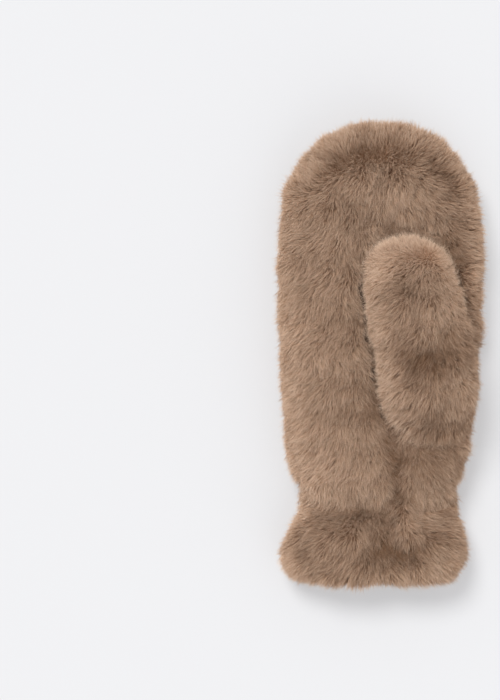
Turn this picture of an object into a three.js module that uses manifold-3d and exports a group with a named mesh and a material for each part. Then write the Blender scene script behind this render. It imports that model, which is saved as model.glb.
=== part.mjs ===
// Winter mitten of deep faux fur for the right hand, lying on its back with the palm up.
// Sizes are millimetres. +X is the thumb side, +Y points to the fingertips and +Z is up.
// It is sewn from three pieces: a palm panel and a back panel that meet along the side seams,
// and a thumb whose neck is sewn into a hole in the palm and which is folded over the palm.
// Each piece is a knitted backing with the dense part of the pile on it, and the tips of the
// pile are locks that lean with the nap: towards the hem, and outwards round the rims.

import * as THREE from 'three';
import { mergeVertices } from 'three/addons/utils/BufferGeometryUtils.js';
import Module from 'manifold-3d';

const wasm = await Module();
wasm.setup();

// Driving sizes of the hand and the cuff, measured over the tips of the fur.
const LENGTH = 277;
const HAND_WIDTH = 122;
const DOME_RISE = 61;
const HAND_HEIGHT = 41;
const CUFF_LENGTH = 50;
const CUFF_WIDTH = 115;
const CUFF_HEIGHT = 37;
const WRIST_WIDTH = 94;
const WRIST_HEIGHT = 29;
const WRIST_LIFT = 3;

// Driving sizes of the thumb, measured over the tips of the fur.
const THUMB_LENGTH = 130;
const THUMB_WIDTH = 59;
const THUMB_HEIGHT = 31;
const THUMB_TIP_RISE = 28;
const THUMB_ROOT_RISE = 20;
const THUMB_ABOVE_WRIST = 28;
const THUMB_OFF_MIDDLE = 26;
const THUMB_SINK = 4;
const THUMB_DROOP = 9;

// The neck that joins the inside of the thumb to the inside of the hand.
const NECK_WIDTH = 34;
const NECK_LENGTH = 46;
const NECK_REACH = 2;
const NECK_PLACE = 0.3;
const NECK_SIDES = 20;

// The fabric, from the inside out. The pile is thinner where the mitten's weight presses it.
const BACKING = 2;
const PILE = 5;
const PRESSED_PILE = 3;
const LOCK_STAND = 4;

// One lock of fur, and how far apart the locks are rooted.
const LOCK_LENGTH = 24;
const LOCK_WIDTH = 12;
const LOCK_THICKNESS = 4;
const LOCK_SINK = 2;
const LOCK_PITCH_ALONG = 18;
const LOCK_PITCH_ACROSS = 15;
const LOCK_STRAY = 0.3;
const HAND_LOCK_SCALE = 0.85;
const THUMB_LOCK_SCALE = 0.75;
const LOCK_SCALE_SPREAD = 0.3;

// How the nap lies: its fan to the sides, its dip into the fur, and the share of a round end over
// which it turns outwards. Locks keep off the seams and the underside by turns in radians.
const NAP_FAN = 0.35;
const NAP_DIP = 0.1;
const NAP_TURN = 0.3;
const SEAM_TURN = 0.16;
const UNDERSIDE_TURN = 0.5;
const THUMB_SEAM_TURN = 0.1;

// Gaps between pieces that lie face to face.
const SEAM_GAP = 0.3;
const THUMB_GAP = 0.4;

// Depths and places of the gathers at the wrist, the waves of the cuff and the parting in the fur.
const GATHER_DEPTH = 1.8;
const GATHER_RUN = 16;
const CUFF_WAVE = 1.5;
const PARTING_DEPTH = 3;
const PARTING_INSET = 18;
const PARTING_WIDTH = 6;
const PARTING_START = 0.55;
const PARTING_FULL = 0.85;

// Counts of folds on one side of the mitten, and of the steps that the surfaces are drawn with.
const GATHERS = 4;
const CUFF_WAVES = 3;
const PALM_STEPS = 18;
const BACK_STEPS = 14;
const CAVITY_STEPS = 16;
const HAND_STATIONS = 28;
const CAVITY_STATIONS = 16;
const THUMB_STEPS = 14;
const THUMB_STATIONS = 12;

// Shapes of the cross-sections. A fullness below 1 makes a side fuller than an ellipse. The
// underside would bulge past the floor by its share, and is pressed flat there.
const TOP_FULLNESS = 0.74;
const SIDE_FULLNESS = 0.7;
const UNDERSIDE_BULGE = 1.25;
const SEAM_SHARE = 0.42;
const THUMB_SEAM_SHARE = 0.35;

const DOME_START = LENGTH - DOME_RISE;
const HAND_RUN = DOME_START - CUFF_LENGTH;
const THUMB_START = CUFF_LENGTH + THUMB_ABOVE_WRIST;
const THUMB_END = THUMB_START + THUMB_LENGTH;
const THUMB_FLOOR = HAND_HEIGHT - LOCK_STAND - THUMB_SINK;
const NECK_UP = THUMB_START + NECK_PLACE * THUMB_LENGTH;

// Surfaces inside the tips of the fur: the pile that the locks stand on, and the hollow.
const PILE_SURFACE = { inset: LOCK_STAND, floor: 0, folded: true };
const HOLLOW = { inset: LOCK_STAND + PILE + BACKING, floor: PRESSED_PILE + BACKING, folded: false };

// Sections of the hand: up is the distance from the hem, top the height over the floor, drift
// the sideways shift as a share of the width, and lift the share of the wrist's lift.
const SECTIONS = table(['place', 'up', 'width', 'top', 'drift', 'lift'], [
  ['hem', 0, 0.86 * CUFF_WIDTH, 0.86 * CUFF_HEIGHT, -0.06, 0],
  ['hem_corner', 0.15 * CUFF_LENGTH, 0.97 * CUFF_WIDTH, 0.96 * CUFF_HEIGHT, -0.046, 0],
  ['flare', 0.3 * CUFF_LENGTH, CUFF_WIDTH, CUFF_HEIGHT, -0.036, 0.1],
  ['cuff_top', 0.62 * CUFF_LENGTH, 0.93 * CUFF_WIDTH, 0.93 * CUFF_HEIGHT, -0.022, 0.5],
  ['wrist', CUFF_LENGTH, WRIST_WIDTH, WRIST_HEIGHT, -0.01, 1],
  ['heel', CUFF_LENGTH + 0.12 * HAND_RUN, 0.865 * HAND_WIDTH, 0.87 * HAND_HEIGHT, -0.022, 0.3],
  ['thumb_hole', CUFF_LENGTH + 0.43 * HAND_RUN, 0.96 * HAND_WIDTH, HAND_HEIGHT, -0.003, 0],
  ['knuckles', CUFF_LENGTH + 0.72 * HAND_RUN, 0.993 * HAND_WIDTH, HAND_HEIGHT, -0.003, 0],
  ['fingers', DOME_START, HAND_WIDTH, 0.97 * HAND_HEIGHT, 0, 0],
]);

// Dents in the palm, as deep at the middle as depth says; a ridge has a depth below zero.
const DENTS = table(['place', 'x', 'up', 'reachX', 'reachUp', 'depth'], [
  ['crease_foot', 0.07 * HAND_WIDTH, 0.255 * LENGTH, 0.05 * HAND_WIDTH, 0.07 * LENGTH, 0.8 * PILE],
  ['wrist_fold', 0.07 * WRIST_WIDTH, 1.1 * CUFF_LENGTH, 0.05 * WRIST_WIDTH, 0.3 * CUFF_LENGTH, 0.7 * PILE],
  ['left_fold', -0.07 * WRIST_WIDTH, 0.87 * CUFF_LENGTH, 0.06 * WRIST_WIDTH, 0.13 * CUFF_LENGTH, 0.6 * PILE],
  ['ridge', 0.15 * WRIST_WIDTH, 0.75 * CUFF_LENGTH, 0.05 * WRIST_WIDTH, 0.25 * CUFF_LENGTH, -0.3 * PILE],
  ['cuff_dent', 0.06 * CUFF_WIDTH, 0.43 * CUFF_LENGTH, 0.1 * CUFF_WIDTH, 0.2 * CUFF_LENGTH, 0.6 * PILE],
  ['cuff_slit', -0.31 * CUFF_WIDTH, 0.21 * CUFF_LENGTH, 0.04 * CUFF_WIDTH, 0.1 * CUFF_LENGTH, 0.5 * PILE],
  ['finger_dent', -0.03 * HAND_WIDTH, 0.8 * LENGTH, 0.06 * HAND_WIDTH, 0.035 * LENGTH, 0.4 * PILE],
]);

// Sections of the thumb: up is the distance from its root, off the sideways shift.
const THUMB_SECTIONS = table(['place', 'up', 'width', 'height', 'off'], [
  ['root', 0, 0.72 * THUMB_WIDTH, 0.62 * THUMB_HEIGHT, 0.1 * THUMB_WIDTH],
  ['gusset', 0.2 * THUMB_LENGTH, 0.93 * THUMB_WIDTH, 0.92 * THUMB_HEIGHT, 0.05 * THUMB_WIDTH],
  ['middle', 0.45 * THUMB_LENGTH, THUMB_WIDTH, THUMB_HEIGHT, 0],
  ['upper', 0.7 * THUMB_LENGTH, 0.98 * THUMB_WIDTH, THUMB_HEIGHT, -0.12 * THUMB_WIDTH],
  ['tip', THUMB_LENGTH, 0.86 * THUMB_WIDTH, 0.88 * THUMB_HEIGHT, -0.22 * THUMB_WIDTH],
]);

// Rings of one lock: shares of its length, of its stand, of its width and of its thickness.
const LOCK_RINGS = table(['along', 'rise', 'width', 'thickness'], [
  [-0.08, -LOCK_SINK / LOCK_STAND, 0.8, 1],
  [0.45, 0.4, 1, 0.9],
  [1, 1, 0, 0],
]);

// Rows of a table as objects with the columns' names.
function table(columns, rows) {
  return rows.map((row) => Object.fromEntries(row.map((value, i) => [columns[i], value])));
}

// A smooth curve through one column of a table of sections.
function follow(rows, column, up) {
  const last = rows.length - 1;
  const place = THREE.MathUtils.clamp(up, rows[0].up, rows[last].up);
  const i = THREE.MathUtils.clamp(rows.findIndex((row) => row.up >= place) - 1, 0, last - 1);
  const slope = (k) => {
    const before = rows[Math.max(0, k - 1)];
    const after = rows[Math.min(last, k + 1)];
    return (after[column] - before[column]) / (after.up - before.up);
  };
  const run = rows[i + 1].up - rows[i].up;
  const t = (place - rows[i].up) / run;
  const bend = t * (1 - t) * (slope(i) * (1 - t) - slope(i + 1) * t) * run;
  return THREE.MathUtils.lerp(rows[i][column], rows[i + 1][column], t * t * (3 - 2 * t)) + bend;
}

// A share of an even sequence that never repeats, from 0 to 1, for uneven natural spacing.
function uneven(row, column) {
  const golden = (Math.sqrt(5) - 1) / 2;
  return (row * golden + column * golden * golden + golden) % 1;
}

// A power that keeps the sign of its base.
function signedPower(base, exponent) {
  return Math.sign(base) * Math.abs(base) ** exponent;
}

// A bell that is 1 at the middle and fades over its reach.
function bell(offset, reach) {
  return Math.exp(-((offset / reach) ** 2));
}

// A closed solid through rings of points. Seen along the way the rings go, their points run
// anticlockwise. A ring of coinciding points closes an end to a tip.
function loft(rings) {
  const count = rings[0].length;
  const positions = rings.flat().flatMap((point) => [point.x, point.y, point.z]);
  const indices = [];
  for (let k = 0; k < rings.length - 1; k += 1) {
    for (let j = 0; j < count; j += 1) {
      const a = k * count + j;
      const b = k * count + ((j + 1) % count);
      indices.push(a, a + count, b + count, a, b + count, b);
    }
  }
  for (const [ring, first, turned] of [[rings[0], 0, false], [rings.at(-1), indices.length, true]]) {
    const base = turned ? (rings.length - 1) * count : first;
    const middle = ring.reduce((sum, point) => sum.add(point), new THREE.Vector3());
    middle.divideScalar(count);
    const centre = positions.length / 3;
    positions.push(middle.x, middle.y, middle.z);
    for (let j = 0; j < count; j += 1) {
      const next = (j + 1) % count;
      indices.push(centre, base + (turned ? next : j), base + (turned ? j : next));
    }
  }
  return solidOf(positions, indices);
}

// A solid from points and triangles, with shared points merged and collapsed triangles left out.
function solidOf(positions, indices) {
  const loose = new THREE.BufferGeometry();
  loose.setAttribute('position', new THREE.Float32BufferAttribute(positions, 3));
  loose.setIndex(indices);
  const merged = mergeVertices(loose, 1e-4);
  const corners = merged.index.array;
  const kept = [];
  for (let i = 0; i < corners.length; i += 3) {
    const [a, b, c] = [corners[i], corners[i + 1], corners[i + 2]];
    if (a !== b && b !== c && c !== a) {
      kept.push(a, b, c);
    }
  }
  const vertProperties = new Float32Array(merged.attributes.position.array);
  const triVerts = new Uint32Array(kept);
  return new wasm.Manifold(new wasm.Mesh({ numProp: 3, vertProperties, triVerts }));
}

// A distance along the hand's surface from the hem, as a distance up from the hem.
function upAt(run, layer) {
  const radius = DOME_RISE - layer.inset;
  const turn = Math.min(Math.PI / 2, Math.max(0, run - DOME_START) / radius);
  return Math.min(run, DOME_START) + radius * Math.sin(turn);
}

// The run at which a surface of the hand closes at the fingertips.
function tipRun(layer) {
  return DOME_START + (DOME_RISE - layer.inset) * Math.PI / 2;
}

// The hand's section: its middle, half width, seam height and heights above and below the seam.
function handSection(up, layer) {
  const top = follow(SECTIONS, 'top', up);
  const width = follow(SECTIONS, 'width', up);
  const floor = layer.floor + WRIST_LIFT * Math.max(0, follow(SECTIONS, 'lift', up));
  const beyond = Math.min(1, Math.max(0, up - DOME_START) / (DOME_RISE - layer.inset));
  const seam = SEAM_SHARE * top;
  return {
    middle: width * follow(SECTIONS, 'drift', up),
    halfWidth: (width / 2 - layer.inset) * Math.sqrt(1 - beyond ** 2),
    seam,
    above: (top - layer.inset - seam) * Math.sqrt(1 - beyond ** 3),
    below: (seam - SEAM_GAP / 2 - floor) * Math.sqrt(1 - beyond ** 3),
  };
}

// How far the gathers and the cuff's waves draw the surface in.
function foldDepth(turn, up) {
  const gathers = GATHER_DEPTH * bell(up - CUFF_LENGTH, GATHER_RUN);
  const waves = CUFF_WAVE * (1 - THREE.MathUtils.smoothstep(up, 0, CUFF_LENGTH));
  return gathers * (0.5 - 0.5 * Math.cos(2 * GATHERS * turn))
    + waves * (0.5 + 0.5 * Math.sin(2 * CUFF_WAVES * turn));
}

// How far inside the mitten's outline a place on the palm is.
function edgeInset(x, up) {
  const above = Math.max(0, up - DOME_START) / DOME_RISE;
  const halfWidth = follow(SECTIONS, 'width', up) / 2;
  const across = (x - follow(SECTIONS, 'drift', up) * 2 * halfWidth) / halfWidth;
  return halfWidth * (1 - Math.hypot(across, above));
}

// How deep the palm is dented: the table's dents, and the parting where the rim's fur turns outwards.
function dentDepth(x, up) {
  const dents = DENTS.map((dent) => (
    dent.depth * bell(x - dent.x, dent.reachX) * bell(up - dent.up, dent.reachUp)
  ));
  const fade = THREE.MathUtils.smoothstep(up, PARTING_START * LENGTH, PARTING_FULL * LENGTH);
  const parting = PARTING_DEPTH * fade * bell(edgeInset(x, up) - PARTING_INSET, PARTING_WIDTH);
  return dents.reduce((sum, depth) => sum + depth, parting);
}

// A point of the hand's surface. turn goes from the thumb side's seam over the palm to the
// other seam, and on round the back; shift moves the seam off its middle by half the gap.
function handPoint(run, turn, layer, shift) {
  const up = upAt(run, layer);
  const part = handSection(up, layer);
  const fold = layer.folded ? Math.min(foldDepth(turn, up), part.halfWidth) : 0;
  const x = part.middle + (part.halfWidth - fold) * signedPower(Math.cos(turn), SIDE_FULLNESS);
  const rise = Math.abs(Math.sin(turn)) ** TOP_FULLNESS;
  const base = part.seam + shift;
  if (Math.sin(turn) < 0) {
    return new THREE.Vector3(x, up, base - (part.below - fold) * Math.min(1, UNDERSIDE_BULGE * rise));
  }
  const dent = layer.folded ? fold + dentDepth(x, up) : 0;
  return new THREE.Vector3(x, up, base + Math.max(0, part.above - dent) * rise);
}

// Rings of the hand from its hem to its fingertips, over a range of turns.
function handRings(layer, shift, fromTurn, toTurn, steps, stations, startRun) {
  const endRun = tipRun(layer);
  return Array.from({ length: stations + 1 }, (_, k) => {
    const run = startRun + (endRun - startRun) * k / stations;
    return Array.from({ length: steps + 1 }, (__, j) => (
      handPoint(run, fromTurn + (toTurn - fromTurn) * j / steps, layer, shift)
    ));
  });
}

// The palm's height over the floor at a place, with no fold or dent; 0 beside the mitten.
function palmHeight(x, up) {
  const part = handSection(up, PILE_SURFACE);
  const across = Math.abs(x - part.middle) / part.halfWidth;
  if (!(across < 1)) {
    return 0;
  }
  const sine = Math.sqrt(1 - across ** (2 / SIDE_FULLNESS));
  return part.seam + SEAM_GAP / 2 + part.above * sine ** TOP_FULLNESS;
}

// The thumb's section at a distance up from the hem; gap grows it, for the room that it needs.
function thumbSection(up, inset, floorInset) {
  const along = up - THUMB_START;
  const tip = Math.max(0, (up - THUMB_END + THUMB_TIP_RISE) / (THUMB_TIP_RISE - inset));
  const root = Math.max(0, (THUMB_ROOT_RISE - along) / (THUMB_ROOT_RISE - inset));
  const round = Math.sqrt(Math.max(0, 1 - Math.max(tip, root) ** 2));
  const full = Math.sqrt(Math.max(0, 1 - Math.max(tip, root) ** 3));
  const height = follow(THUMB_SECTIONS, 'height', along);
  const seam = THUMB_FLOOR + THUMB_SEAM_SHARE * height;
  return {
    middle: THUMB_OFF_MIDDLE + follow(THUMB_SECTIONS, 'off', along),
    halfWidth: (follow(THUMB_SECTIONS, 'width', along) / 2 - inset) * round,
    seam,
    above: (THUMB_FLOOR + height - inset - seam) * full,
    below: (seam - THUMB_FLOOR - floorInset) * full,
  };
}

// A point of the thumb's surface. share goes from 0 at its root to 1 at its tip. The thumb droops
// where the palm under it slopes down.
function thumbPoint(share, turn, inset, floorInset) {
  const up = THREE.MathUtils.lerp(THUMB_START + inset, THUMB_END - inset, share);
  const part = thumbSection(up, inset, floorInset);
  const sine = signedPower(Math.sin(turn), TOP_FULLNESS);
  const x = part.middle + part.halfWidth * signedPower(Math.cos(turn), SIDE_FULLNESS);
  const droop = Math.min(THUMB_DROOP, HAND_HEIGHT - LOCK_STAND - palmHeight(x, up));
  return new THREE.Vector3(x, up, part.seam - droop + sine * (sine < 0 ? part.below : part.above));
}

// A closed solid inside the thumb's outline by an inset.
function thumbSolid(inset, floorInset) {
  return loft(Array.from({ length: THUMB_STATIONS + 1 }, (_, k) => (
    Array.from({ length: THUMB_STEPS }, (__, j) => {
      const share = (1 - Math.cos(Math.PI * k / THUMB_STATIONS)) / 2;
      return thumbPoint(share, 2 * Math.PI * j / THUMB_STEPS, inset, floorInset);
    })
  )));
}

// An upright oval column for the neck, grown by a margin.
function neckColumn(margin, bottom, top) {
  const column = new THREE.CylinderGeometry(1, 1, top - bottom, NECK_SIDES);
  column.rotateX(Math.PI / 2);
  column.scale(NECK_WIDTH / 2 + margin, NECK_LENGTH / 2 + margin, 1);
  column.translate(neckMiddle(), NECK_UP, (bottom + top) / 2);
  return solidOf([...column.attributes.position.array], [...column.index.array]);
}

// The neck's sideways place, below the middle of the thumb.
function neckMiddle() {
  return THUMB_OFF_MIDDLE + follow(THUMB_SECTIONS, 'off', NECK_UP - THUMB_START);
}

// The way the nap lies at a place of a form with a round end above endUp: towards the hem and
// a little outwards, but straight out across the round end's rim. across goes from -1 to 1.
function napAt(across, up, endUp, endRise, rim) {
  const above = Math.max(0, up - endUp) / endRise;
  const outward = new THREE.Vector3(across, above, -NAP_DIP).normalize();
  const hemward = new THREE.Vector3(NAP_FAN * across, -1, -NAP_DIP).normalize();
  return hemward.lerp(outward, rim * THREE.MathUtils.smoothstep(above, 0, NAP_TURN)).normalize();
}

// One lock of fur, rooted in a surface and lying along the nap. insetAt says how far inside the
// outline over the fur a point is, and the lock ends where it reaches that outline. Each ring is
// moved down to below highest and then up to above lowest, where it isn't already.
function lockSolid(root, normal, nap, scale, { insetAt, lowest, highest }) {
  const lean = nap.clone().addScaledVector(normal, -nap.dot(normal)).normalize();
  const side = new THREE.Vector3().crossVectors(lean, normal);
  const stand = root.clone().addScaledVector(normal, LOCK_STAND);
  const inside = Math.max(LOCK_STAND / 2, insetAt(stand));
  const beyond = insetAt(stand.clone().addScaledVector(lean, scale * LOCK_LENGTH));
  const length = scale * LOCK_LENGTH * Math.min(1, inside / Math.max(1e-9, inside - beyond));
  return loft(LOCK_RINGS.map((ring) => {
    const centre = root.clone()
      .addScaledVector(lean, ring.along * length)
      .addScaledVector(normal, ring.rise * LOCK_STAND);
    const half = ring.width * LOCK_WIDTH / 2;
    const thick = ring.thickness * LOCK_THICKNESS / 2;
    const points = [[half, -thick], [0, thick], [-half, -thick]].map(([across, rise]) => (
      centre.clone().addScaledVector(side, across).addScaledVector(normal, rise)
    ));
    const drop = Math.max(0, ...points.map((point) => point.z - highest(point)));
    const lift = Math.max(0, ...points.map((point) => lowest(point) - point.z + drop));
    return points.map((point) => new THREE.Vector3(point.x, point.y, point.z - drop + lift));
  }));
}

// Places of locks along one row, evenly spread over the row's length, with the row's ends used
// in every second row.
function spreadTurns(pointAt, fromTurn, toTurn, row) {
  const samples = 24;
  const turns = Array.from({ length: samples + 1 }, (_, i) => (
    THREE.MathUtils.lerp(fromTurn, toTurn, i / samples)
  ));
  const points = turns.map(pointAt);
  const lengths = [0];
  for (let i = 1; i <= samples; i += 1) {
    lengths.push(lengths[i - 1] + points[i].distanceTo(points[i - 1]));
  }
  const total = lengths[samples];
  const count = Math.max(1, Math.round(total / LOCK_PITCH_ACROSS));
  const staggered = row % 2;
  return Array.from({ length: count + 1 - staggered }, (_, k) => {
    const wobble = LOCK_STRAY * (uneven(row, k) - 0.5);
    const place = THREE.MathUtils.clamp((k + staggered / 2 + wobble) / count, 0, 1) * total;
    const i = Math.max(1, lengths.findIndex((length) => length >= place - 1e-9));
    const t = (place - lengths[i - 1]) / Math.max(1e-9, lengths[i] - lengths[i - 1]);
    return THREE.MathUtils.lerp(turns[i - 1], turns[i], t);
  });
}

// The outward direction of a surface at a place, from two points beside it along each way.
function normalAt(pointAt, along, turn, stepAlong) {
  const stepTurn = 0.03;
  const acrossWay = pointAt(along, turn + stepTurn).sub(pointAt(along, turn - stepTurn));
  const alongWay = pointAt(along + stepAlong, turn).sub(pointAt(along - stepAlong, turn));
  return acrossWay.cross(alongWay).negate().normalize();
}

// True where a palm lock would meet the thumb or its fur.
function meetsThumb(point) {
  const part = thumbSection(point.y, -LOCK_STAND / 2, 0);
  return part.halfWidth > 0
    && Math.abs(point.x - part.middle) < part.halfWidth
    && point.z > THUMB_FLOOR - LOCK_STAND;
}

// The locks of one side of the hand, kept on their own side of the seams and above the floor.
function handLocks(upper) {
  const shift = (upper ? 0.5 : -0.5) * SEAM_GAP;
  const pointAt = (run, turn) => handPoint(run, turn, PILE_SURFACE, shift);
  const seamAt = (point) => handSection(point.y, PILE_SURFACE).seam + 3 * shift;
  const limits = {
    insetAt: (point) => Math.min(point.y, edgeInset(point.x, point.y)),
    lowest: upper ? seamAt : () => 0,
    highest: upper ? (point) => (palmHeight(point.x, point.y) || Infinity) + LOCK_STAND : seamAt,
  };
  const ranges = upper
    ? [[SEAM_TURN, Math.PI - SEAM_TURN]]
    : [[-SEAM_TURN, -UNDERSIDE_TURN], [Math.PI + UNDERSIDE_TURN, Math.PI + SEAM_TURN]];
  const locks = [];
  const rows = Math.floor((tipRun(PILE_SURFACE) - LOCK_LENGTH) / LOCK_PITCH_ALONG);
  for (let row = 0; row <= rows; row += 1) {
    const run = LOCK_LENGTH - LOCK_STAND + row * LOCK_PITCH_ALONG;
    for (const [fromTurn, toTurn] of ranges) {
      for (const turn of spreadTurns((t) => pointAt(run, t), fromTurn, toTurn, row)) {
        const root = pointAt(run, turn);
        const part = handSection(root.y, PILE_SURFACE);
        const rim = 1 - THREE.MathUtils.smoothstep(
          edgeInset(root.x, root.y), PARTING_INSET - PARTING_WIDTH, PARTING_INSET + PARTING_WIDTH);
        const across = (root.x - part.middle) / part.halfWidth;
        const nap = napAt(across, root.y, DOME_START, DOME_RISE, rim);
        const normal = normalAt(pointAt, run, turn, 1);
        const scale = HAND_LOCK_SCALE + LOCK_SCALE_SPREAD * uneven(row + 1, Math.round(turn * LOCK_LENGTH));
        const tip = root.clone().addScaledVector(nap, scale * LOCK_LENGTH);
        if (!meetsThumb(root) && !meetsThumb(tip)) {
          locks.push(lockSolid(root, normal, nap, scale, limits));
        }
      }
    }
  }
  return locks;
}

// The locks of the thumb, kept above the palm.
function thumbLocks() {
  const inset = LOCK_STAND;
  const pointAt = (share, turn) => thumbPoint(share, turn, inset, 0);
  const limits = {
    insetAt: (point) => {
      const part = thumbSection(point.y, 0, 0);
      return part.halfWidth - Math.abs(point.x - part.middle);
    },
    lowest: (point) => palmHeight(point.x, point.y) + 2 * THUMB_GAP,
    highest: () => THUMB_FLOOR + THUMB_HEIGHT,
  };
  const locks = [];
  const rows = Math.floor((THUMB_LENGTH - LOCK_LENGTH) / LOCK_PITCH_ALONG);
  for (let row = 0; row <= rows; row += 1) {
    const share = 1 - (LOCK_LENGTH / 3 + row * LOCK_PITCH_ALONG) / (THUMB_LENGTH - 2 * inset);
    const across = [THUMB_SEAM_TURN, Math.PI - THUMB_SEAM_TURN];
    for (const turn of spreadTurns((t) => pointAt(share, t), ...across, row)) {
      const root = pointAt(share, turn);
      const part = thumbSection(root.y, inset, 0);
      const off = (root.x - part.middle) / part.halfWidth;
      const endUp = THUMB_END - THUMB_TIP_RISE;
      const rim = THREE.MathUtils.smoothstep(root.y, endUp, THUMB_END);
      const nap = napAt(off, root.y, endUp, THUMB_TIP_RISE, rim);
      const normal = normalAt(pointAt, share, turn, 0.01);
      const scale = THUMB_LOCK_SCALE + LOCK_SCALE_SPREAD * uneven(row + 2, Math.round(turn * LOCK_LENGTH));
      locks.push(lockSolid(root, normal, nap, scale, limits));
    }
  }
  return locks;
}

// All the given solids joined into one.
function joined(solids) {
  return solids.reduce((sum, solid) => sum.add(solid));
}

// The hollow of the hand, open at the hem.
function makeHollow() {
  const rings = handRings(HOLLOW, 0, 0, 2 * Math.PI, CAVITY_STEPS, CAVITY_STATIONS, LOCK_STAND - BACKING);
  return loft(rings.map((ring) => ring.slice(0, -1)));
}

// The palm panel, with the hole for the thumb's neck and the room that the thumb lies in.
function makePalm(hollow) {
  const rings = handRings(PILE_SURFACE, SEAM_GAP / 2, 0, Math.PI, PALM_STEPS, HAND_STATIONS, LOCK_STAND);
  const room = thumbSolid(LOCK_STAND - THUMB_GAP, -THUMB_GAP);
  const hole = neckColumn(THUMB_GAP, HOLLOW.floor, HAND_HEIGHT);
  return joined([loft(rings), ...handLocks(true)]).subtract(hollow).subtract(room).subtract(hole);
}

// The back panel, which the mitten lies on.
function makeBack(hollow) {
  const [from, to] = [Math.PI, 2 * Math.PI];
  const shell = loft(handRings(PILE_SURFACE, -SEAM_GAP / 2, from, to, BACK_STEPS, HAND_STATIONS, LOCK_STAND));
  return joined([shell, ...handLocks(false)]).subtract(hollow);
}

// The thumb with its hollow and its neck.
function makeThumb() {
  const wall = PILE + BACKING;
  const inside = thumbSolid(LOCK_STAND + wall, BACKING + PRESSED_PILE / 2);
  const bottom = palmHeight(neckMiddle(), NECK_UP) - wall - NECK_REACH;
  const neck = neckColumn(0, bottom, THUMB_FLOOR + BACKING);
  const way = neckColumn(-BACKING, bottom - NECK_REACH, THUMB_FLOOR + 2 * BACKING + PRESSED_PILE);
  return joined([thumbSolid(LOCK_STAND, 0), neck, ...thumbLocks()]).subtract(inside).subtract(way);
}

// A named mesh of one sewn piece, in the colour of its fur.
function pieceOf(name, solid, colour) {
  const mesh = solid.getMesh();
  const geometry = new THREE.BufferGeometry();
  geometry.setAttribute('position', new THREE.BufferAttribute(new Float32Array(mesh.vertProperties), 3));
  geometry.setIndex(new THREE.BufferAttribute(new Uint32Array(mesh.triVerts), 1));
  const material = new THREE.MeshStandardMaterial({ color: colour, roughness: 0.95, metalness: 0 });
  const piece = new THREE.Mesh(geometry, material);
  piece.name = name;
  return piece;
}

const hollow = makeHollow();
const group = new THREE.Group();
group.add(pieceOf('palm_panel', makePalm(hollow), '#93785f'));
group.add(pieceOf('back_panel', makeBack(hollow), '#93785f'));
group.add(pieceOf('thumb', makeThumb(), '#93785f'));

// The origin is on the floor, below the middle of the box round the mitten.
const box = new THREE.Box3().setFromObject(group);
const middle = box.getCenter(new THREE.Vector3());
group.position.set(-middle.x, -middle.y, -box.min.z);

export default group;
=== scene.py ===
"""A deep-pile faux fur mitten for the right hand, lying on its back with the palm up.

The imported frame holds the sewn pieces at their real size. Here each piece gets a skin, which is
its knitted backing with the dense foot of the pile, and coats of single strands of fur that lie
with the nap, gather in tufts and turn outwards round the rims. All lengths are metres, apart from
the tables of folds, which are in millimetres.
"""

import itertools
import logging
import math
from dataclasses import dataclass
from enum import Enum

import bpy
import numpy as np
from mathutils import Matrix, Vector
from mathutils.bvhtree import BVHTree


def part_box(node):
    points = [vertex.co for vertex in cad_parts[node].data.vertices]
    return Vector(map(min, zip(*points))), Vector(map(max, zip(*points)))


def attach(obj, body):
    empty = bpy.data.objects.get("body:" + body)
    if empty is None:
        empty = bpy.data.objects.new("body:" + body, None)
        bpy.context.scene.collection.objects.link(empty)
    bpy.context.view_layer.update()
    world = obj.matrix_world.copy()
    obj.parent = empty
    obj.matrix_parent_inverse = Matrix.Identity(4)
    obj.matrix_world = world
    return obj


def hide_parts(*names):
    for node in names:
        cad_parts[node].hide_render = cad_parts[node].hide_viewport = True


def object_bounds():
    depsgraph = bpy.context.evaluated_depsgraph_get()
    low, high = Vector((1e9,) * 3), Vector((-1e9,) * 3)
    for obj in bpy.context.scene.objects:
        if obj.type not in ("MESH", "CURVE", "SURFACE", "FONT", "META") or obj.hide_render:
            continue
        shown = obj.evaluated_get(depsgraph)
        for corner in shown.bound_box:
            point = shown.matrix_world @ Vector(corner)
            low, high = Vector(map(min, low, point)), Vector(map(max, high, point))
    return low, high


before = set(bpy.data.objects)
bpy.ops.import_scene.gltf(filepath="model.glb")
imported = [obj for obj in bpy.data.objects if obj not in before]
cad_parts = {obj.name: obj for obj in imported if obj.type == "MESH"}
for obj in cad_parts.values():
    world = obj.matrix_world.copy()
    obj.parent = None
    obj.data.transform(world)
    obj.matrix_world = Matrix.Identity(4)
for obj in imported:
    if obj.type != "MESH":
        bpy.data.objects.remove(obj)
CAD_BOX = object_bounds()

LOG = logging.getLogger("mitten")
MM = 0.001
BODY = "root"
STRAND_MAP = "OFBake"
WAVE_TURN = 20.0

Colour = tuple[int, int, int]


def linear(red: int, green: int, blue: int) -> tuple[float, float, float, float]:
    """Turn a screen colour into the linear colour that a shader takes.

    Args:
        red, green, blue: The screen colour, each from 0 to 255.

    Returns:
        The linear colour with full opacity.
    """
    shares = (value / 255 for value in (red, green, blue))
    return (*(s / 12.92 if s <= 0.04045 else ((s + 0.055) / 1.055) ** 2.4 for s in shares), 1.0)


def smoothstep(low: float, high: float, value: np.ndarray) -> np.ndarray:
    """Ease from 0 at low to 1 at high.

    Args:
        low: The value at which the result leaves 0.
        high: The value at which the result reaches 1.
        value: The values to ease.

    Returns:
        The eased shares.
    """
    share = np.clip((value - low) / (high - low), 0.0, 1.0)
    return share * share * (3.0 - 2.0 * share)


def unit(vectors: np.ndarray) -> np.ndarray:
    """Scale each row to length 1."""
    return vectors / np.maximum(np.linalg.norm(vectors, axis=1, keepdims=True), 1e-12)


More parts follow.
